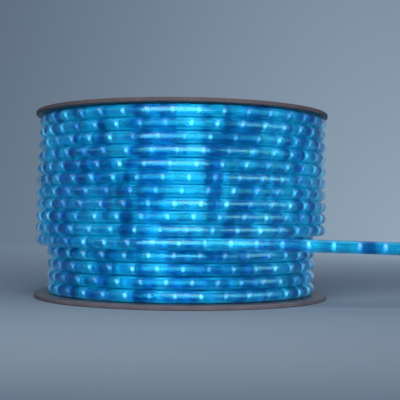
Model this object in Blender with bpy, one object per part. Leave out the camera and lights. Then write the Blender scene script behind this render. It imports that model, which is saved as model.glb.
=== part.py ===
"""Reel of LED rope light.

Metres, +Z up. The origin is on the reel's axis, at the underside of the lower flange. The front,
where the rope's free end leaves the winding, faces -Y, and the free end runs towards +X.
"""

import math

import bmesh
import bpy
from mathutils import Vector

# The rope: half an inch thick, wound in level rows and full layers.
ROPE_DIAMETER = 0.0127
TURN_GAP = 0.0003  # between one turn and the next, along the reel and outwards
ROWS = 15
LAYERS = 4
TAIL_ROW = 4  # the row that the free end leaves, counted from 0 at the bottom

# The reel. Its flanges are as far apart and as wide as the full winding needs.
BARREL_DIAMETER = 0.2286
BARREL_WALL = 0.005
FLANGE_THICKNESS = 0.0045
FLANGE_EDGE = 0.0008  # small slope that breaks the rim's two corners
ARBOR_DIAMETER = 0.050
GROOVE_DEPTH = 0.0015  # how far the barrel's ends are let into each flange
ROOM_UNDER_ROPE = 0.00215  # between the lower flange and the lowest row
ROOM_OVER_ROPE = 0.00315  # between the highest row and the upper flange
RIM_MARGIN = 0.0007  # how far the rims stand out beyond the outer layer
SEAT_GAP = 0.0003  # between pieces that touch

# The cap on the rope's free end.
CAP_LENGTH = 0.022
CAP_WALL = 0.0011
CAP_SOCKET_DEPTH = 0.016
CAP_EDGE = 0.0012

# The free end's route from the winding's front to the bottom of its cap. Each point is a distance
# along +X, a distance in towards the reel's axis and a drop, all from the place where it leaves.
TAIL_ROUTE = [
    (0.000, 0.0000, 0.0000),
    (0.013, 0.0000, 0.0000),
    (0.026, 0.0000, 0.0000),
    (0.039, 0.0000, 0.0000),
    (0.052, 0.0000, 0.0001),
    (0.065, 0.0001, 0.0001),
    (0.078, 0.0001, 0.0002),
    (0.091, 0.0002, 0.0003),
    (0.104, 0.0003, 0.0005),
    (0.117, 0.0004, 0.0007),
    (0.130, 0.0005, 0.0009),
    (0.143, 0.0006, 0.0011),
    (0.156, 0.0007, 0.0014),
    (0.169, 0.0008, 0.0017),
    (0.182, 0.0009, 0.0020),
    (0.195, 0.0010, 0.0023),
    (0.208, 0.0012, 0.0027),
    (0.221, 0.0013, 0.0031),
    (0.234, 0.0015, 0.0035),
]
POINTS_PER_TAIL_FACET = 2  # the tube takes every second point, about two diameters apart
TAIL_BEVEL_RESOLUTION = 3

# How finely the round pieces are faceted.
FLANGE_SIDES = 64
BARREL_SIDES = 48
WINDING_SIDES = 48
CAP_SIDES = 20
TURN_FACETS = 3  # flats across the exposed face of one turn, in the winding's section
TURN_SPREAD = math.radians(62)  # how far a turn's exposed face goes, to each side of its middle
SHARP_EDGE = math.radians(35)

ROPE_RADIUS = ROPE_DIAMETER / 2
TURN_PITCH = ROPE_DIAMETER + TURN_GAP
TOP_ROW = ROWS - 1
OUTER_LAYER = LAYERS - 1
LAYER_BENEATH = LAYERS - 2
BARREL_RADIUS = BARREL_DIAMETER / 2
ARBOR_RADIUS = ARBOR_DIAMETER / 2
WINDING_BORE_RADIUS = BARREL_RADIUS + SEAT_GAP
WINDING_RADIUS = WINDING_BORE_RADIUS + LAYERS * TURN_PITCH - TURN_GAP
WINDING_HEIGHT = ROWS * TURN_PITCH - TURN_GAP
FLANGE_RADIUS = WINDING_RADIUS + RIM_MARGIN
FLANGE_SPACING = ROOM_UNDER_ROPE + WINDING_HEIGHT + ROOM_OVER_ROPE
OVERALL_HEIGHT = FLANGE_SPACING + 2 * FLANGE_THICKNESS

# Ways that a turn can face in the winding's section, as angles from outwards.
DOWN = -math.pi / 2
OUT = 0.0
UP = math.pi / 2


def row_height(row):
    """Height of a row's centre, counted from 0 at the bottom."""
    return FLANGE_THICKNESS + ROOM_UNDER_ROPE + ROPE_RADIUS + row * TURN_PITCH


def layer_radius(layer):
    """Radius of a layer's centreline, counted from 0 on the barrel."""
    return WINDING_BORE_RADIUS + ROPE_RADIUS + layer * TURN_PITCH


def clear_scene():
    for old in list(bpy.data.objects):
        bpy.data.objects.remove(old, do_unlink=True)


def material(name, colour, roughness):
    made = bpy.data.materials.new(name)
    made.use_nodes = True
    shader = made.node_tree.nodes["Principled BSDF"]
    shader.inputs["Base Color"].default_value = (*colour, 1.0)
    shader.inputs["Roughness"].default_value = roughness
    shader.inputs["Metallic"].default_value = 0.0
    return made


def add_object(name, data, finish):
    thing = bpy.data.objects.new(name, data)
    bpy.context.scene.collection.objects.link(thing)
    data.materials.append(finish)
    return thing


def finished_mesh(name, bm):
    """Closes a bmesh into a mesh that is smooth round its curves and sharp at its corners."""
    bmesh.ops.recalc_face_normals(bm, faces=bm.faces)
    mesh = bpy.data.meshes.new(name)
    bm.to_mesh(mesh)
    bm.free()
    mesh.shade_smooth()
    mesh.set_sharp_from_angle(angle=SHARP_EDGE)
    return mesh


def spin_chain(bm, points, sides, start=0.0, angle=math.tau, closed=False):
    """Turns a chain of (radius, height) points about the Z axis, from one angle through another."""
    direction = Vector((math.cos(start), math.sin(start), 0.0))
    chain = [bm.verts.new(direction * radius + Vector((0, 0, height))) for radius, height in points]
    ends = chain[1:] + chain[:1] if closed else chain[1:]
    edges = [bm.edges.new(pair) for pair in zip(chain, ends)]
    bmesh.ops.spin(
        bm,
        geom=chain + edges,
        cent=(0.0, 0.0, 0.0),
        axis=(0.0, 0.0, 1.0),
        angle=angle,
        steps=sides,
    )


def turned(name, section, sides, finish):
    """A solid turned from a closed section of (radius, height) points."""
    bm = bmesh.new()
    spin_chain(bm, section, sides, closed=True)
    bmesh.ops.remove_doubles(bm, verts=bm.verts, dist=1e-6)
    return add_object(name, finished_mesh(name, bm), finish)


def flange_section():
    """The lower flange's section, with the groove for the barrel's end in its upper face."""
    top = FLANGE_THICKNESS
    groove_floor = top - GROOVE_DEPTH
    groove_outside = BARREL_RADIUS + SEAT_GAP
    groove_inside = BARREL_RADIUS - BARREL_WALL - SEAT_GAP
    return [
        (ARBOR_RADIUS, 0.0),
        (FLANGE_RADIUS - FLANGE_EDGE, 0.0),
        (FLANGE_RADIUS, FLANGE_EDGE),
        (FLANGE_RADIUS, top - FLANGE_EDGE),
        (FLANGE_RADIUS - FLANGE_EDGE, top),
        (groove_outside, top),
        (groove_outside, groove_floor),
        (groove_inside, groove_floor),
        (groove_inside, top),
        (ARBOR_RADIUS, top),
    ]


def add_flanges(board):
    """Two like discs, the upper one turned over so that its groove faces down."""
    turned("bottom_flange", flange_section(), FLANGE_SIDES, board)
    upper = turned("top_flange", flange_section(), FLANGE_SIDES, board)
    upper.location.z = OVERALL_HEIGHT
    upper.rotation_euler.x = math.pi


def add_barrel(card):
    bottom = FLANGE_THICKNESS - GROOVE_DEPTH + SEAT_GAP
    top = OVERALL_HEIGHT - bottom
    inner = BARREL_RADIUS - BARREL_WALL
    section = [(inner, bottom), (BARREL_RADIUS, bottom), (BARREL_RADIUS, top), (inner, top)]
    turned("barrel", section, BARREL_SIDES, card)


def turn_face(layer, row, facing, last_facing=None):
    """Points across a turn's exposed face, in the winding's section, from one way it faces to another."""
    if last_facing is None:
        last_facing = facing
    start = facing - TURN_SPREAD
    sweep = last_facing + TURN_SPREAD - start
    facets = round(TURN_FACETS * sweep / (2 * TURN_SPREAD))
    points = []
    for step in range(facets + 1):
        angle = start + sweep * step / facets
        out = layer_radius(layer) + ROPE_RADIUS * math.cos(angle)
        up = row_height(row) + ROPE_RADIUS * math.sin(angle)
        points.append((out, up))
    return points


def winding_common_chain():
    """The section's part that is the same all round: the rows above the tail's, the ends and the bore.

    It runs from the row above the tail's, up and over the upper end, down the bore, out along the
    lower end and up to the row below the tail's.
    """
    points = turn_face(OUTER_LAYER, TAIL_ROW + 1, OUT)
    for row in range(TAIL_ROW + 2, TOP_ROW):
        points += turn_face(OUTER_LAYER, row, OUT)
    points += turn_face(OUTER_LAYER, TOP_ROW, OUT, UP)
    for layer in reversed(range(OUTER_LAYER)):
        points += turn_face(layer, TOP_ROW, UP)
    points.append((WINDING_BORE_RADIUS, row_height(TOP_ROW)))
    points.append((WINDING_BORE_RADIUS, row_height(0)))
    for layer in range(LAYER_BENEATH):
        points += turn_face(layer, 0, DOWN)
    points += turn_face(LAYER_BENEATH, 0, DOWN, OUT)
    for row in range(1, TAIL_ROW):
        points += turn_face(LAYER_BENEATH, row, OUT)
    return points


def add_winding(rope):
    """The rope on the reel: the outer layer's last turn goes only half way round, from back to front."""
    common = winding_common_chain()
    covered = turn_face(OUTER_LAYER, TAIL_ROW, DOWN, OUT)
    bare = turn_face(LAYER_BENEATH, TAIL_ROW, OUT)
    bare += turn_face(OUTER_LAYER, TAIL_ROW + 1, DOWN)[:-1]
    start, end = common[-1], common[0]
    half_sides = WINDING_SIDES // 2
    back = math.pi / 2
    bm = bmesh.new()
    spin_chain(bm, common, WINDING_SIDES, start=back)
    spin_chain(bm, [start] + covered + [end], half_sides, start=back, angle=math.pi)
    spin_chain(bm, [start] + bare + [end], half_sides, start=-back, angle=math.pi)
    for side in (1, -1):
        outline = [start] + covered + [end] + bare[::-1]
        bm.faces.new([bm.verts.new((0.0, side * radius, height)) for radius, height in outline])
    bmesh.ops.remove_doubles(bm, verts=bm.verts, dist=1e-6)
    add_object("rope_winding", finished_mesh("rope_winding", bm), rope)


def tail_points():
    """The free end's route in the reel's frame, starting just clear of the winding."""
    leaves = Vector((SEAT_GAP, -layer_radius(OUTER_LAYER), row_height(TAIL_ROW)))
    return [leaves + Vector((along, inward, -drop)) for along, inward, drop in TAIL_ROUTE]


def add_tail(rope):
    curve = bpy.data.curves.new("rope_tail", "CURVE")
    curve.dimensions = "3D"
    curve.bevel_depth = ROPE_RADIUS
    curve.bevel_resolution = TAIL_BEVEL_RESOLUTION
    curve.use_fill_caps = True
    spline = curve.splines.new("POLY")
    places = tail_points()[::POINTS_PER_TAIL_FACET]
    spline.points.add(len(places) - 1)
    for point, place in zip(spline.points, places):
        point.co = (*place, 1.0)
    add_object("rope_tail", curve, rope)


def cap_section():
    """The cap's section along its own axis: a cup with a thick end, its mouth at height 0."""
    bore = ROPE_RADIUS + SEAT_GAP
    outside = bore + CAP_WALL
    return [
        (0.0, CAP_SOCKET_DEPTH),
        (bore, CAP_SOCKET_DEPTH),
        (bore, 0.0),
        (outside, 0.0),
        (outside, CAP_LENGTH - CAP_EDGE),
        (outside - CAP_EDGE, CAP_LENGTH),
        (0.0, CAP_LENGTH),
    ]


def add_end_cap(clear):
    """The cap lies along the end of the free rope, which stops just short of its socket's bottom."""
    bm = bmesh.new()
    spin_chain(bm, cap_section(), CAP_SIDES)
    bmesh.ops.remove_doubles(bm, verts=bm.verts, dist=1e-6)
    cap = add_object("end_cap", finished_mesh("end_cap", bm), clear)
    places = tail_points()
    along = (places[-1] - places[-1 - POINTS_PER_TAIL_FACET]).normalized()
    cap.location = places[-1] - along * (CAP_SOCKET_DEPTH - SEAT_GAP)
    cap.rotation_euler = along.to_track_quat("Z", "Y").to_euler()


def main():
    clear_scene()
    board = material("hardboard", (0.085, 0.068, 0.066), 0.6)
    card = material("cardboard", (0.42, 0.33, 0.24), 0.9)
    rope = material("blue_rope", (0.02, 0.22, 0.55), 0.25)
    clear = material("clear_cap", (0.55, 0.75, 0.85), 0.2)
    add_flanges(board)
    add_barrel(card)
    add_winding(rope)
    add_tail(rope)
    add_end_cap(clear)


main()
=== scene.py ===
"""Looks of the reel of LED rope light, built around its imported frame.

Metres, +Z up. The origin is on the reel's axis, at the underside of the lower flange. The front,
where the rope's free end leaves the winding, faces -Y, and the free end runs towards +X.
"""

import math

import bpy
from mathutils import Matrix, Vector


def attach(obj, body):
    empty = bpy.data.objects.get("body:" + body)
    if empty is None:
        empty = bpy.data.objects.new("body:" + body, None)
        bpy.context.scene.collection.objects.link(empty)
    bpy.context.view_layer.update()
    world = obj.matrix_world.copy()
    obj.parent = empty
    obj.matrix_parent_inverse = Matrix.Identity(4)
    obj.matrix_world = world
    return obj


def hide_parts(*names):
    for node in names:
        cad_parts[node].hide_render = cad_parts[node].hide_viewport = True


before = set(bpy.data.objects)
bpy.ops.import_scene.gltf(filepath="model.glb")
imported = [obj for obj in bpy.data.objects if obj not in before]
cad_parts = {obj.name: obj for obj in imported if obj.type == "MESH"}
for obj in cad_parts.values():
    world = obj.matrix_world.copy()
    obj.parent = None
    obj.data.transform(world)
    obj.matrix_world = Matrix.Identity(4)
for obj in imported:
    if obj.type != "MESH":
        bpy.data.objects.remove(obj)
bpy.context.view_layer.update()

# The camera stands in front of the reel, a little under half way up it.
CAMERA_DISTANCE = 1.05
CAMERA_HEIGHT = 0.092
CAMERA_LENS = 81.5  # in millimetres, as its sensor's width is
SENSOR_WIDTH = 36.0
CAMERA_TURN = math.radians(-1.165)
CAMERA_TILT = math.radians(1.05)
CAMERA_ROLL = math.radians(0.6)

# The rope and how it is wound, as in the part's own source.
ROPE_DIAMETER = 0.0127
TURN_GAP = 0.0003
ROWS = 15
LAYERS = 4
TAIL_ROW = 4
BARREL_DIAMETER = 0.2286
FLANGE_THICKNESS = 0.0045
FLANGE_RADIUS = 0.167
OVERALL_HEIGHT = 0.209
INNER_FACE_HEIGHT = OVERALL_HEIGHT / 2 - FLANGE_THICKNESS  # from half way up the reel
ROOM_UNDER_ROPE = 0.00215
SEAT_GAP = 0.0003

# The free end's route. Each point is a distance along +X, a distance in towards the reel's axis
# and a drop, all from the place where it leaves the winding.
TAIL_ROUTE = [
    (0.000, 0.0000, 0.0000),
    (0.013, 0.0000, 0.0000),
    (0.026, 0.0000, 0.0000),
    (0.039, 0.0000, 0.0000),
    (0.052, 0.0000, 0.0001),
    (0.065, 0.0001, 0.0001),
    (0.078, 0.0001, 0.0002),
    (0.091, 0.0002, 0.0003),
    (0.104, 0.0003, 0.0005),
    (0.117, 0.0004, 0.0007),
    (0.130, 0.0005, 0.0009),
    (0.143, 0.0006, 0.0011),
    (0.156, 0.0007, 0.0014),
    (0.169, 0.0008, 0.0017),
    (0.182, 0.0009, 0.0020),
    (0.195, 0.0010, 0.0023),
    (0.208, 0.0012, 0.0027),
    (0.221, 0.0013, 0.0031),
    (0.234, 0.0015, 0.0035),
]
TAIL_LENGTH = 0.234

# The lights in the rope, about an inch apart.
LED_SPACING = 0.0254
LEDS_PER_OUTER_TURN = 39.27
FIRST_TAIL_LED = -0.002  # where the LED nearest the winding's front centre sits, along +X

ROPE_RADIUS = ROPE_DIAMETER / 2
TURN_PITCH = ROPE_DIAMETER + TURN_GAP
TOP_ROW = ROWS - 1
OUTER_LAYER = LAYERS - 1
LAYER_BENEATH = LAYERS - 2
WINDING_BORE_RADIUS = BARREL_DIAMETER / 2 + SEAT_GAP
OUTER_TURNS = TOP_ROW - TAIL_ROW + 0.5

# What is inside the rope: LEDs across its middle and a bare wire above and below them.
LED_RADIUS = 0.0014
LED_FOOT_RADIUS = LED_RADIUS * 0.6
LED_WIDTH_SHARE = 1.55  # how much wider it is along the rope
LED_LENGTH = 0.0052
LED_SIDES = 8
WIRE_RADIUS = 0.0005
WIRE_OFFSET = 0.0034

# How high each LED's own light shows through the jacket.
WOUND_LAMP_HEIGHT = 0.0013
TAIL_LAMP_HEIGHT = 0.0030

# The LED's steps from its foot up to its dome: each one's share of the LED's length, and how much
# wider the LED gets over it.
LED_STEPS = [(0.13, 1.75), (0.12, 0.95), (0.38, 1.0), (0.22, 0.75)]

# The jacket's surface: fine ridges that the die leaves along it, so many of them round the rope.
DRAWN_LINES = 37
DRAWN_LINE_DEPTH = 0.00005

# How far a layer's last LED is from the layer's end, as a share of their spacing.
OUTER_LAST_LED = -FIRST_TAIL_LED / LED_SPACING
SECOND_LAST_LED = 0.3

# The stretches of rope with one LED each are numbered for the glow, to give each its own strength.
LAST_WOUND_STRETCH = 1000
FIRST_TAIL_STRETCH = 100

# How many LEDs the two hidden layers hold for each one in the layer outside them.
HIDDEN_LED_SHARE = 1.8

# How finely the rope is drawn.
RINGS_PER_TURN = 96
RING_RESOLUTION = 6
INNER_RINGS_PER_TURN = 48
INNER_RING_RESOLUTION = 2
WIRE_RING_RESOLUTION = 1
WELD_DISTANCE = 1e-6
ROPE_SMOOTH_ANGLE = math.radians(50)
LED_SMOOTH_ANGLE = math.radians(40)

# Where each layer steps from one row to the next, and where the rope climbs to the next layer.
BACK = math.pi / 2
STEP_CENTRE = -0.03  # in turns from the back
STEP_HALF_WIDTH = 0.07
CLIMB_CENTRE = 0.008
CLIMB_HALF_WIDTH = 0.045

# The highest rows press up towards the upper flange and the lowest ones down towards the lower one.
PRESSED_UP = 0.0018
PRESSED_UP_FROM_ROW = 8
PRESSED_DOWN = 0.0012
PRESSED_DOWN_TO_ROW = 3

# The upper rows are pulled in a little on the left.
PULLED_IN = 0.0032
PULLED_IN_FROM_ROW = 7.5
PULLED_IN_SIDE = math.radians(195)

# The studio's floor runs level to the back, curves up there and goes on as a leaning wall.
FLOOR_WIDTH = 12.0
FLOOR_BACK_EDGE = 2.0
FLOOR_CURVE_RADIUS = 2.5
FLOOR_CURVE_TURN = math.radians(80)
FLOOR_CURVE_STEPS = 24
WALL_RISE = (0.0, 0.6, 3.4)
WORLD_COLOUR = (0.32, 0.50, 0.80, 1.0)
WORLD_STRENGTH = 0.35


def smooth_step(low, high, value):
    share = min(max((value - low) / (high - low), 0.0), 1.0)
    return share * share * (3 - 2 * share)


def row_height(row):
    pressed = PRESSED_UP * smooth_step(PRESSED_UP_FROM_ROW, TOP_ROW, row)
    pressed -= PRESSED_DOWN * (1 - smooth_step(0, PRESSED_DOWN_TO_ROW, row))
    return FLANGE_THICKNESS + ROOM_UNDER_ROPE + ROPE_RADIUS + row * TURN_PITCH + pressed


def layer_radius(layer):
    return WINDING_BORE_RADIUS + ROPE_RADIUS + layer * TURN_PITCH


class Socket:
    """One socket of a material's nodes. Arithmetic on it adds Math nodes."""

    def __init__(self, tree, socket=None):
        self.tree = tree
        self.socket = socket

    def node(self, kind, settings, values, output=0):
        """Adds a node with these settings, feeds its sockets and gives one of its outputs."""
        made = self.tree.nodes.new(kind)
        for name, value in settings.items():
            if name == "stops":
                set_stops(made.color_ramp, value)
            else:
                setattr(made, name, value)
        for name, value in values.items():
            if isinstance(value, Socket):
                self.tree.links.new(value.socket, made.inputs[name])
            else:
                made.inputs[name].default_value = value
        return Socket(self.tree, made.outputs[output])

    def output(self, name):
        """Another output of the same node."""
        return Socket(self.tree, self.socket.node.outputs[name])

    def math(self, operation, *others):
        values = dict(enumerate([self, *others]))
        return self.node("ShaderNodeMath", {"operation": operation}, values)

    def __add__(self, other):
        return self.math("ADD", other)

    __radd__ = __add__

    def __sub__(self, other):
        return self.math("SUBTRACT", other)

    def __rsub__(self, other):
        return (self * -1.0) + other

    def __mul__(self, other):
        return self.math("MULTIPLY", other)

    def __truediv__(self, other):
        return self.math("DIVIDE", other)

    def __abs__(self):
        return self.math("ABSOLUTE")

    def between(self, low, high):
        """Smoothly 0 to 1 as the value goes from low to high."""
        settings = {"interpolation_type": "SMOOTHSTEP"}
        values = {"Value": self, "From Min": low, "From Max": high}
        return self.node("ShaderNodeMapRange", settings, values)

    def bell(self, width):
        """1 at zero, and about a third of that at this distance from it."""
        share = self / width
        return (share * share * -1.0).math("EXPONENT")

    def mix(self, first, second):
        """A colour from the first one at 0 to the second one at 1."""
        values = {0: self, 6: first, 7: second}
        return self.node("ShaderNodeMix", {"data_type": "RGBA"}, values, output=2)

    def tinted(self, colour):
        """A colour as strong as the value."""
        return self.mix((0.0, 0.0, 0.0, 1.0), (*colour, 1.0))


def set_stops(ramp, stops):
    """A colour ramp's stops, as a list of (place, colour)."""
    while len(ramp.elements) > 1:
        ramp.elements.remove(ramp.elements[-1])
    ramp.elements[0].position, ramp.elements[0].color = stops[0]
    for place, colour in stops[1:]:
        ramp.elements.new(place).color = colour


def new_material(name, **constants):
    """A material with these values on its shader, and a Socket to start its nodes from."""
    made = bpy.data.materials.new(name)
    made.use_nodes = True
    shader = made.node_tree.nodes["Principled BSDF"]
    for socket, value in constants.items():
        shader.inputs[socket.replace("_", " ")].default_value = value
    return made, shader, Socket(made.node_tree)


def feed(shader, **values):
    for socket, value in values.items():
        value.tree.links.new(value.socket, shader.inputs[socket.replace("_", " ")])


def hidden_rope_material(leds):
    """Blue plastic over a string of this many lit LEDs, drawn on the rope's own map."""
    made, shader, start = new_material(
        "blue_rope_inner",
        Roughness=0.32,
        Anisotropic=0.8,
        Specular_IOR_Level=0.9,
        Specular_Tint=(0.25, 0.8, 1.0, 1.0),
        Coat_Weight=1.0,
        Coat_Roughness=0.05,
        Coat_IOR=1.5,
        Emission_Strength=1.0,
    )
    made.cycles.emission_sampling = "NONE"
    place = start.node("ShaderNodeUVMap", {"uv_map": "UVMap"}, {})
    split = start.node("ShaderNodeSeparateXYZ", {}, {0: place})
    along = split * leds + 0.2
    around = (split.output("Y") - 0.375) * math.tau
    stretch = along.math("FLOOR")
    chance = start.node("ShaderNodeTexWhiteNoise", {"noise_dimensions": "1D"}, {"W": stretch})
    drift = start.node("ShaderNodeTexWhiteNoise", {"noise_dimensions": "1D"}, {"W": stretch + 0.37})
    from_led = (along - stretch - 0.5) * LED_SPACING + (drift - 0.5) * 0.0016
    rise = around.math("SINE") * ROPE_RADIUS
    outwards = around.math("COSINE")
    lamp = from_led.bell(0.0021) * rise.bell(0.0026) * (chance * 0.55 + 0.5)
    # The glow is weaker at the rope's top and bottom: painted shade in the grooves between rows.
    glow = from_led.bell(0.0065) * (chance * 0.4 + 0.6) * (abs(outwards) * 0.6 + 0.4)
    core = 1.0 - abs(rise).between(0.0026, 0.0050)
    wire = (abs(rise) - 0.0037).bell(0.00045)
    haze = start.node(
        "ShaderNodeTexNoise", {"noise_dimensions": "1D"}, {"W": along * 0.23, "Scale": 1.0}
    )
    # The base colour is painted paler round each LED as painted LED light, and paler along the core.
    # The wires darken it and a haze varies it. The emission comes from the same mix.
    painted_glow_and_tone = glow * 0.75 + core * 0.12 + haze * 0.25 - wire * 0.12
    body = painted_glow_and_tone.node(
        "ShaderNodeValToRGB",
        {
            "stops": [
                (0.0, (0.002, 0.030, 0.130, 1.0)),
                (0.35, (0.002, 0.085, 0.290, 1.0)),
                (0.75, (0.004, 0.200, 0.400, 1.0)),
                (1.0, (0.02, 0.330, 0.500, 1.0)),
            ]
        },
        {0: painted_glow_and_tone},
    )
    shine = (painted_glow_and_tone * 0.55).tinted((0.0, 0.22, 0.42))
    lit = start.node(
        "ShaderNodeMix",
        {"data_type": "RGBA", "blend_type": "ADD"},
        {0: 1.0, 6: shine, 7: lamp.tinted((0.42, 0.80, 0.95))},
        output=2,
    )
    lines = (around * 9.0).math("SINE") * 0.5 + (around * 23.0 + along * 0.4).math("SINE") * 0.3
    bump = start.node("ShaderNodeBump", {}, {"Strength": 0.25, "Distance": 0.0002, "Height": lines})
    feed(shader, Base_Color=body, Emission_Color=lit, Normal=bump)
    return made


def jacket_material(name, leds, phase, lamp_height, outer_side):
    """Clear, faintly milky blue plastic that glows round each LED, drawn on the rope's own map.

    The map holds this many LEDs, and phase shifts them along it. Each shows as a lamp this high.
    With outer_side 0 they shine all round the rope. With 1 they shine only out of the winding, and
    a painted glow lightens the shade in the grooves where the rope touches the rows above and below
    it.
    """
    made, shader, start = new_material(
        name,
        Roughness=0.12,
        Transmission_Weight=0.9,
        IOR=1.52,
        Specular_IOR_Level=1.0,
        Specular_Tint=(0.04, 0.85, 0.92, 1.0),
        Coat_Roughness=0.04,
        Emission_Strength=1.0,
    )
    made.cycles.emission_sampling = "NONE"
    place = start.node("ShaderNodeUVMap", {"uv_map": "UVMap"}, {})
    split = start.node("ShaderNodeSeparateXYZ", {}, {0: place})
    along = split * leds + phase
    around = (split.output("Y") - 0.375) * math.tau
    stretch = along.math("FLOOR")
    chance = start.node("ShaderNodeTexWhiteNoise", {"noise_dimensions": "1D"}, {"W": stretch})
    from_led = (along - stretch - 0.5) * LED_SPACING
    rise = around.math("SINE") * ROPE_RADIUS
    facing = around.math("COSINE").between(-0.7, 0.2) * outer_side + (1.0 - outer_side)
    lamp = from_led.bell(0.0018) * rise.bell(lamp_height) * (chance * 0.85 + 0.15) * facing
    glow = from_led.bell(0.0058) * (chance * 0.6 + 0.4) * facing
    # Milky patches that are taller than wide, and darker blue between them.
    spot = start.node("ShaderNodeTexCoord", {}, {}, output="Object")
    tall = start.node("ShaderNodeMapping", {}, {"Vector": spot, "Scale": (1.0, 1.0, 0.28)})
    noise = start.node("ShaderNodeTexNoise", {}, {"Vector": tall, "Scale": 58.0, "Detail": 2.0})
    cloud = noise.between(0.40, 0.66)
    deep_blue = (0.003, 0.09, 0.37, 1.0)
    milky_blue = (0.02, 0.43, 0.74, 1.0)
    tint = cloud.mix(deep_blue, milky_blue)
    # Painted light: the rope's top and bottom glow where they touch the rows above and below,
    # lightening the shade in the grooves.
    painted_groove_light = abs(around.math("SINE")).between(0.55, 0.95) * (cloud * 0.85 + 0.2) * outer_side
    halo = (glow + cloud * 0.32 + painted_groove_light).tinted((0.0, 0.080, 0.14))
    lit = start.node(
        "ShaderNodeMix",
        {"data_type": "RGBA", "blend_type": "ADD"},
        {0: 1.0, 6: halo, 7: lamp.tinted((0.20, 0.21, 0.33))},
        output=2,
    )
    lines = (around * DRAWN_LINES).math("SINE")
    bump = start.node(
        "ShaderNodeBump", {}, {"Strength": 1.0, "Distance": DRAWN_LINE_DEPTH, "Height": lines}
    )
    # A gloss that changes from row to row, in long level streaks.
    flat = start.node("ShaderNodeMapping", {}, {"Vector": spot, "Scale": (0.12, 0.12, 1.0)})
    streaks = start.node("ShaderNodeTexNoise", {}, {"Vector": flat, "Scale": 90.0, "Detail": 1.0})
    gloss = streaks.between(0.42, 0.62) * 0.6 + 0.05
    feed(shader, Base_Color=tint, Emission_Color=lit, Normal=bump, Coat_Weight=gloss)
    return made


def led_material():
    """Lit LEDs, brightest at the tip and some brighter than others.

    Their light is warm, because the blue jacket round them holds back most of its red.
    """
    made, shader, start = new_material(
        "led", Base_Color=(0.75, 0.9, 0.95, 1.0), Roughness=0.3, Emission_Strength=2.4
    )
    made.cycles.emission_sampling = "NONE"
    place = start.node("ShaderNodeTexCoord", {}, {}, output="Object")
    chance = start.node("ShaderNodeTexNoise", {}, {"Vector": place, "Scale": 45.0, "Detail": 1.0})
    lens = start.node("ShaderNodeAttribute", {"attribute_name": "lens"}, {}, output="Fac")
    level = (chance.between(0.3, 0.7) * 0.6 + 0.4) * (lens * 0.9 + 0.1)
    feed(shader, Emission_Color=level.tinted((0.80, 0.50, 0.52)))
    return made


def wire_material():
    """Tinned copper strands."""
    made, shader, start = new_material("tinned_wire", Metallic=1.0)
    place = start.node("ShaderNodeTexCoord", {}, {}, output="Object")
    strands = start.node("ShaderNodeTexNoise", {}, {"Vector": place, "Scale": 700.0, "Detail": 2.0})
    feed(
        shader,
        Base_Color=strands.mix((0.55, 0.42, 0.36, 1.0), (0.85, 0.80, 0.76, 1.0)),
        Roughness=strands * 0.3 + 0.2,
    )
    return made


def hardboard_material():
    """Dark tempered hardboard: smooth mottled faces and a rougher sawn rim."""
    made, shader, start = new_material("hardboard", Specular_IOR_Level=0.3)
    place = start.node("ShaderNodeTexCoord", {}, {}, output="Object")
    split = start.node("ShaderNodeSeparateXYZ", {}, {0: place})
    x = split.output("X")
    y = split.output("Y")
    radius = (x * x + y * y).math("SQRT")
    mottle = start.node("ShaderNodeTexNoise", {}, {"Vector": place, "Scale": 55.0, "Detail": 5.0})
    fibre = start.node("ShaderNodeTexNoise", {}, {"Vector": place, "Scale": 900.0, "Detail": 3.0})
    scuff = start.node(
        "ShaderNodeTexNoise", {}, {"Vector": place, "Scale": 130.0, "Detail": 6.0, "Distortion": 1.5}
    )
    rim = radius.between(FLANGE_RADIUS - 0.0016, FLANGE_RADIUS - 0.0004)
    height = split.output("Z")
    from_middle = abs(height - OVERALL_HEIGHT / 2)
    inner = 1.0 - from_middle.between(INNER_FACE_HEIGHT + 0.0001, INNER_FACE_HEIGHT + 0.0004)
    # 1 on the lower flange, where its rim gets painted light.
    lower_flange_painted_light = 1.0 - height.between(FLANGE_THICKNESS, FLANGE_THICKNESS + 0.001)
    tone = mottle * 0.55 + fibre * 0.35 + scuff.between(0.62, 0.75) * 0.25
    outer_face = tone.mix((0.030, 0.022, 0.020, 1.0), (0.120, 0.092, 0.085, 1.0))
    # The faces towards the rope are painted paler than the outer faces: painted light in the shade
    # between the flanges and the rope.
    painted_lit_inner_face = tone.mix((0.060, 0.048, 0.045, 1.0), (0.215, 0.175, 0.165, 1.0))
    face = inner.mix(outer_face, painted_lit_inner_face)
    # The lower rim is painted paler than the upper one: painted light, where the lights reach it
    # less.
    edge = tone.mix((0.050, 0.039, 0.044, 1.0), (0.160, 0.127, 0.140, 1.0))
    painted_lit_edge = tone.mix((0.085, 0.068, 0.076, 1.0), (0.285, 0.235, 0.258, 1.0))
    colour = rim.mix(face, lower_flange_painted_light.mix(edge, painted_lit_edge))
    rough = 0.55 + mottle * 0.2 + rim * 0.15 - inner * (1.0 - rim) * 0.3
    grain = fibre * 0.6 + mottle * 0.4
    bump = start.node("ShaderNodeBump", {}, {"Strength": 0.35, "Distance": 0.0003, "Height": grain})
    feed(shader, Base_Color=colour, Roughness=rough, Normal=bump)
    return made


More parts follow.
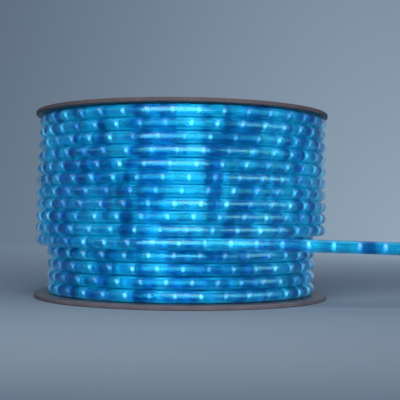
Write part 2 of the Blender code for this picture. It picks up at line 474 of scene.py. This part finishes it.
def cardboard_material():
    """Brown wound cardboard with its spiral seams."""
    made, shader, start = new_material("cardboard", Specular_IOR_Level=0.25)
    place = start.node("ShaderNodeTexCoord", {}, {}, output="Object")
    split = start.node("ShaderNodeSeparateXYZ", {}, {0: place})
    turn = split.output("Y").math("ARCTAN2", split) / math.tau
    wrap = split.output("Z") / 0.09 + turn
    seam = abs(wrap.math("FRACT") - 0.5).between(0.492, 0.5)
    fibre = start.node("ShaderNodeTexNoise", {}, {"Vector": place, "Scale": 420.0, "Detail": 6.0})
    cloud = start.node("ShaderNodeTexNoise", {}, {"Vector": place, "Scale": 25.0, "Detail": 3.0})
    tone = fibre * 0.6 + cloud * 0.5 - seam * 0.5
    colour = tone.mix((0.20, 0.135, 0.080, 1.0), (0.52, 0.40, 0.27, 1.0))
    bump = start.node(
        "ShaderNodeBump", {}, {"Strength": 0.4, "Distance": 0.0004, "Height": fibre * 0.3 - seam}
    )
    feed(shader, Base_Color=colour, Roughness=0.75 + fibre * 0.2, Normal=bump)
    return made


def cap_material():
    """Clear, faintly blue moulded plastic."""
    made, shader, start = new_material(
        "clear_cap", Transmission_Weight=1.0, IOR=1.45, Coat_Weight=0.3, Coat_Roughness=0.1
    )
    place = start.node("ShaderNodeTexCoord", {}, {}, output="Object")
    haze = start.node("ShaderNodeTexNoise", {}, {"Vector": place, "Scale": 300.0, "Detail": 3.0})
    colour = haze.mix((0.55, 0.80, 0.92, 1.0), (0.80, 0.93, 0.98, 1.0))
    bump = start.node("ShaderNodeBump", {}, {"Strength": 0.15, "Distance": 0.0002, "Height": haze})
    feed(shader, Base_Color=colour, Roughness=0.06 + haze * 0.12, Normal=bump)
    return made


def dress(obj, finish):
    """One finish in every slot of a piece."""
    if not obj.data.materials:
        obj.data.materials.append(finish)
    for index in range(len(obj.data.materials)):
        obj.data.materials[index] = finish


def make_active(obj):
    bpy.ops.object.select_all(action="DESELECT")
    obj.select_set(True)
    bpy.context.view_layer.objects.active = obj


def rope_tube(name, points, finish, resolution=RING_RESOLUTION, radius=ROPE_RADIUS):
    """A round rope along these points, with its own map: along it, and round it."""
    curve = bpy.data.curves.new(name, "CURVE")
    curve.dimensions = "3D"
    curve.twist_mode = "Z_UP"
    curve.bevel_depth = radius
    curve.bevel_resolution = resolution
    curve.use_fill_caps = True
    line = curve.splines.new("POLY")
    line.points.add(len(points) - 1)
    for point, place in zip(line.points, points):
        point.co = (*place, 1.0)
    rope = bpy.data.objects.new(name, curve)
    bpy.context.scene.collection.objects.link(rope)
    make_active(rope)
    bpy.ops.object.convert(target="MESH")
    bpy.ops.object.mode_set(mode="EDIT")
    bpy.ops.mesh.select_all(action="SELECT")
    bpy.ops.mesh.remove_doubles(threshold=WELD_DISTANCE)
    bpy.ops.mesh.normals_make_consistent(inside=False)
    bpy.ops.object.mode_set(mode="OBJECT")
    bpy.ops.object.shade_smooth_by_angle(angle=ROPE_SMOOTH_ANGLE)
    dress(rope, finish)
    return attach(rope, "root")


def pulled_in(row, angle):
    """How far a row lies inside its layer at an angle round the reel."""
    high = smooth_step(PULLED_IN_FROM_ROW, TOP_ROW, row)
    side = max(math.cos(angle - PULLED_IN_SIDE), 0.0)
    return PULLED_IN * high * side


def steps_taken(turns, count):
    """How many rows the rope has stepped after a number of turns from the back."""
    taken = 0.0
    for step in range(1, count + 1):
        middle = step + STEP_CENTRE
        taken += smooth_step(middle - STEP_HALF_WIDTH, middle + STEP_HALF_WIDTH, turns)
    return taken


def climbed(turns):
    """How much of the way to the next layer the rope has climbed, some turns past the back."""
    return smooth_step(CLIMB_CENTRE - CLIMB_HALF_WIDTH, CLIMB_CENTRE + CLIMB_HALF_WIDTH, turns)


def wound_place(layer, turns, gone):
    """Where the rope's centre is in one layer, some turns from where that layer starts at the back.

    The layers are wound up and down the reel by turns, from the one on the barrel, which goes up.
    """
    angle = BACK + math.tau * gone
    steps = steps_taken(gone, TOP_ROW)
    row = steps if layer % 2 == 0 else TOP_ROW - steps
    radius = layer_radius(layer) - pulled_in(row, angle)
    if layer > 0:
        radius -= TURN_PITCH * (1 - climbed(gone))
    if layer < OUTER_LAYER:
        radius += TURN_PITCH * climbed(gone - turns)
    return Vector((radius * math.cos(angle), radius * math.sin(angle), row_height(row)))


def wound_points(layer, turns, rings_per_turn=RINGS_PER_TURN):
    """The centreline of one layer, in level rows with a step to the next one at the back."""
    rings = round(turns * rings_per_turn)
    return [wound_place(layer, turns, ring / rings_per_turn) for ring in range(rings + 1)]


def extrude_up(height):
    bpy.ops.mesh.extrude_region_move(TRANSFORM_OT_translate={"value": (0.0, 0.0, height)})


def led_model():
    """One LED along +Z: a foot, a collar, a round body and a domed lens."""
    bpy.ops.object.select_all(action="DESELECT")
    bpy.ops.mesh.primitive_circle_add(
        vertices=LED_SIDES,
        radius=LED_FOOT_RADIUS,
        fill_type="NGON",
        location=(0.0, 0.0, -LED_LENGTH / 2),
    )
    led = bpy.context.object
    bpy.ops.object.transform_apply(location=True)
    bpy.ops.object.mode_set(mode="EDIT")
    for share, growth in LED_STEPS:
        extrude_up(share * LED_LENGTH)
        bpy.ops.transform.resize(value=(growth, growth, 1.0))
    dome = 1 - sum(share for share, growth in LED_STEPS)
    extrude_up(dome * LED_LENGTH)
    bpy.ops.mesh.merge(type="CENTER")
    bpy.ops.mesh.select_all(action="SELECT")
    bpy.ops.mesh.normals_make_consistent(inside=False)
    bpy.ops.object.mode_set(mode="OBJECT")
    lens = led.data.attributes.new("lens", "FLOAT", "POINT")
    for corner, share in zip(led.data.vertices, lens.data):
        share.value = smooth_step(0.0, LED_LENGTH / 2, corner.co.z)
    return led


def led_string(name, places, finish):
    """LEDs as one piece, each at a position, wide along the rope and pointing out of it."""
    model = led_model()
    copies = []
    for position, along, out in places:
        across = out.cross(along).normalized()
        turn = Matrix((along.normalized() * LED_WIDTH_SHARE, across, out.normalized())).transposed()
        copy = model.copy()
        copy.data = model.data.copy()
        copy.data.transform(Matrix.Translation(position) @ turn.to_4x4())
        bpy.context.scene.collection.objects.link(copy)
        copies.append(copy)
    bpy.data.objects.remove(model)
    make_active(copies[0])
    for copy in copies:
        copy.select_set(True)
    bpy.ops.object.join()
    string = bpy.context.object
    string.name = name
    bpy.ops.object.shade_smooth_by_angle(angle=LED_SMOOTH_ANGLE)
    dress(string, finish)
    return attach(string, "root")


def wire_pair(name, points, finish):
    """The two bare wires, above and below the LEDs, as one piece."""
    pair = []
    for side in (-WIRE_OFFSET, WIRE_OFFSET):
        line = [point + Vector((0.0, 0.0, side)) for point in points]
        pair.append(rope_tube(name, line, finish, WIRE_RING_RESOLUTION, WIRE_RADIUS))
    make_active(pair[0])
    pair[1].select_set(True)
    bpy.ops.object.join()
    return pair[0]


def wound_leds(layer, turns, leds_per_turn, last_led):
    """Where the LEDs of one layer are, each pointing out of the winding.

    The last one is that share of their spacing before the layer's end.
    """
    places = []
    for led in range(math.floor(turns * leds_per_turn - last_led)):
        place = wound_place(layer, turns, turns - (led + last_led) / leds_per_turn)
        places.append((place, Vector((-place.y, place.x, 0.0)), Vector((place.x, place.y, 0.0))))
    return places


def tail_points():
    """The centreline of the free end, from the place where it leaves the winding."""
    leaves = Vector((SEAT_GAP, -layer_radius(OUTER_LAYER), row_height(TAIL_ROW)))
    return [leaves + Vector((along, inward, -drop)) for along, inward, drop in TAIL_ROUTE]


def add_layer(name, layer, turns, leds_per_turn, last_led, led_finish, wire_finish):
    """One layer of the rope: its clear jacket, its LEDs and its wires."""
    leds = leds_per_turn * turns
    points = wound_points(layer, turns)
    jacket = jacket_material(
        name + "_jacket",
        leds=leds,
        phase=LAST_WOUND_STRETCH + 0.5 + last_led - leds,
        lamp_height=WOUND_LAMP_HEIGHT,
        outer_side=1.0,
    )
    rope = rope_tube(name, points, jacket)
    led_string(name + "_leds", wound_leds(layer, turns, leds_per_turn, last_led), led_finish)
    wire_pair(name + "_wires", points, wire_finish)
    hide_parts("rope_winding")


def add_winding(led_finish, wire_finish):
    """The outer layer, the layer beneath it and the hidden turns further in."""
    add_layer(
        "rope_outer_layer",
        layer=OUTER_LAYER,
        turns=OUTER_TURNS,
        leds_per_turn=LEDS_PER_OUTER_TURN,
        last_led=OUTER_LAST_LED,
        led_finish=led_finish,
        wire_finish=wire_finish,
    )
    leds_per_turn = math.tau * layer_radius(LAYER_BENEATH) / LED_SPACING
    add_layer(
        "rope_second_layer",
        layer=LAYER_BENEATH,
        turns=ROWS,
        leds_per_turn=leds_per_turn,
        last_led=SECOND_LAST_LED,
        led_finish=led_finish,
        wire_finish=wire_finish,
    )
    hidden_points = wound_points(0, ROWS, INNER_RINGS_PER_TURN)
    hidden_points += wound_points(1, ROWS, INNER_RINGS_PER_TURN)[1:]
    finish = hidden_rope_material(HIDDEN_LED_SHARE * leds_per_turn * ROWS)
    hidden = rope_tube("rope_inner_layers", hidden_points, finish, INNER_RING_RESOLUTION)
    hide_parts("rope_winding")


def add_tail(led_finish, wire_finish):
    """The free end, with its own LEDs and wires, as far as its cap."""
    points = tail_points()
    first_led = (FIRST_TAIL_LED - SEAT_GAP) / LED_SPACING
    leds_along = TAIL_LENGTH / LED_SPACING
    jacket = jacket_material(
        "rope_free_end_jacket",
        leds=leds_along,
        phase=FIRST_TAIL_STRETCH + 0.5 - first_led,
        lamp_height=TAIL_LAMP_HEIGHT,
        outer_side=0.0,
    )
    tail = rope_tube("rope_free_end", points, jacket)
    places = []
    for led in range(1, math.floor(leds_along)):
        along = (led + first_led) * LED_SPACING / TAIL_LENGTH * (len(points) - 1)
        before = points[math.floor(along)]
        step = points[math.floor(along) + 1] - before
        places.append((before + step * (along - math.floor(along)), step, Vector((0.0, 0.0, 1.0))))
    leds = led_string("rope_free_end_leds", places, led_finish)
    wires = wire_pair("rope_free_end_wires", points, wire_finish)
    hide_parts("rope_tail")


def add_camera():
    bpy.ops.object.camera_add(location=(0.0, -CAMERA_DISTANCE, CAMERA_HEIGHT))
    camera = bpy.context.object
    camera.name = "camera"
    camera.data.lens = CAMERA_LENS
    camera.data.sensor_width = SENSOR_WIDTH
    turn = Matrix.Rotation(CAMERA_TURN, 4, "Z")
    tilt = Matrix.Rotation(math.pi / 2 + CAMERA_TILT, 4, "X")
    roll = Matrix.Rotation(CAMERA_ROLL, 4, "Z")
    camera.rotation_mode = "QUATERNION"
    camera.rotation_quaternion = (turn @ tilt @ roll).to_quaternion()
    bpy.context.scene.camera = camera


def add_softbox(name, place, aim, width, height, brightness, colour=(1.0, 1.0, 1.0), lit=()):
    """A flat rectangular studio light. Its brightness is what it would show as in a mirror.

    It lights only the objects named in lit, or all if none is named.
    """
    data = bpy.data.lights.new(name, "AREA")
    data.shape = "RECTANGLE"
    data.size = width
    data.size_y = height
    data.energy = brightness * width * height * math.pi
    data.color = colour
    light = bpy.data.objects.new(name, data)
    bpy.context.scene.collection.objects.link(light)
    light.location = place
    light.rotation_mode = "QUATERNION"
    light.rotation_quaternion = (Vector(aim) - Vector(place)).to_track_quat("-Z", "Y")
    light.visible_camera = False
    if lit:
        receivers = bpy.data.collections.new(name + "_receivers")
        for piece in lit:
            receivers.objects.link(bpy.data.objects[piece])
        light.light_linking.receiver_collection = receivers


def add_lights():
    """Three lights for all, three that fall only on the ropes, and one for the wall at the back."""
    ropes = ("rope_outer_layer", "rope_second_layer", "rope_free_end")
    cyan = (0.28, 0.93, 1.0)
    green_cyan = (0.35, 1.0, 0.9)
    daylight = (0.92, 0.97, 1.0)
    reel_middle = (0.0, 0.0, 0.1)
    add_softbox(
        "front_softbox",
        place=(-0.0875, -0.68, 0.60),
        aim=(-0.0875, 0.0, 0.60),
        width=0.591,
        height=0.54,
        brightness=6.0,
    )
    add_softbox(
        "rope_softbox",
        place=(-0.0875, -0.68, 0.445),
        aim=(-0.0875, 0.0, 0.445),
        width=0.591,
        height=0.85,
        brightness=11.0,
        colour=cyan,
        lit=ropes,
    )
    add_softbox(
        "rope_side_softbox",
        place=(1.2, -0.8, 0.5),
        aim=reel_middle,
        width=1.7,
        height=0.9,
        brightness=4.5,
        colour=green_cyan,
        lit=ropes,
    )
    add_softbox(
        "rope_strip",
        place=(-1.5, -1.05, 1.0),
        aim=reel_middle,
        width=2.6,
        height=0.3,
        brightness=5.5,
        colour=cyan,
        lit=ropes,
    )
    add_softbox(
        "side_softbox",
        place=(1.3, -0.9, 0.5),
        aim=reel_middle,
        width=1.2,
        height=0.9,
        brightness=1.8,
    )
    add_softbox(
        "overhead_softbox",
        place=(0.5, 0.3, 2.4),
        aim=(0.0, 0.0, 0.0),
        width=2.2,
        height=2.2,
        brightness=0.5,
        colour=daylight,
    )
    add_softbox(
        "backdrop_softbox",
        place=(1.6, 1.2, 1.8),
        aim=(0.4, 4.2, 1.0),
        width=1.6,
        height=1.6,
        brightness=10.5,
        colour=daylight,
    )


def add_world():
    world = bpy.data.worlds.new("studio")
    world.use_nodes = True
    background = world.node_tree.nodes["Background"]
    background.inputs["Color"].default_value = WORLD_COLOUR
    background.inputs["Strength"].default_value = WORLD_STRENGTH
    bpy.context.scene.world = world


def add_floor():
    """The plain grey-blue floor, its curve and the wall at the back, as one sheet."""
    bpy.ops.object.select_all(action="DESELECT")
    middle = (0.0, FLOOR_BACK_EDGE - FLOOR_WIDTH / 2, 0.0)
    bpy.ops.mesh.primitive_plane_add(size=FLOOR_WIDTH, location=middle)
    floor = bpy.context.object
    floor.name = "floor"
    bpy.ops.object.transform_apply(location=True)
    corners = floor.data.vertices
    for edge in floor.data.edges:
        edge.select = all(corners[end].co.y > 0 for end in edge.vertices)
    for corner in corners:
        corner.select = corner.co.y > 0
    for face in floor.data.polygons:
        face.select = False
    bpy.ops.object.mode_set(mode="EDIT")
    bpy.ops.mesh.spin(
        steps=FLOOR_CURVE_STEPS,
        angle=-FLOOR_CURVE_TURN,
        center=(0.0, FLOOR_BACK_EDGE, FLOOR_CURVE_RADIUS),
        axis=(1.0, 0.0, 0.0),
    )
    bpy.ops.mesh.extrude_region_move(TRANSFORM_OT_translate={"value": WALL_RISE})
    bpy.ops.object.mode_set(mode="OBJECT")
    bpy.ops.object.shade_smooth()
    paper = new_material(
        "floor", Base_Color=(0.255, 0.305, 0.350, 1.0), Roughness=0.9, Specular_IOR_Level=0.0
    )[0]
    dress(floor, paper)


led_finish = led_material()
wire_finish = wire_material()
add_camera()
add_tail(led_finish, wire_finish)
add_winding(led_finish, wire_finish)
hardboard = hardboard_material()
dress(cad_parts["bottom_flange"], hardboard)
dress(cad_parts["top_flange"], hardboard)
dress(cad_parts["barrel"], cardboard_material())
dress(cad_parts["end_cap"], cap_material())
add_lights()
add_world()
add_floor()
bpy.context.scene.view_settings.view_transform = "Standard"
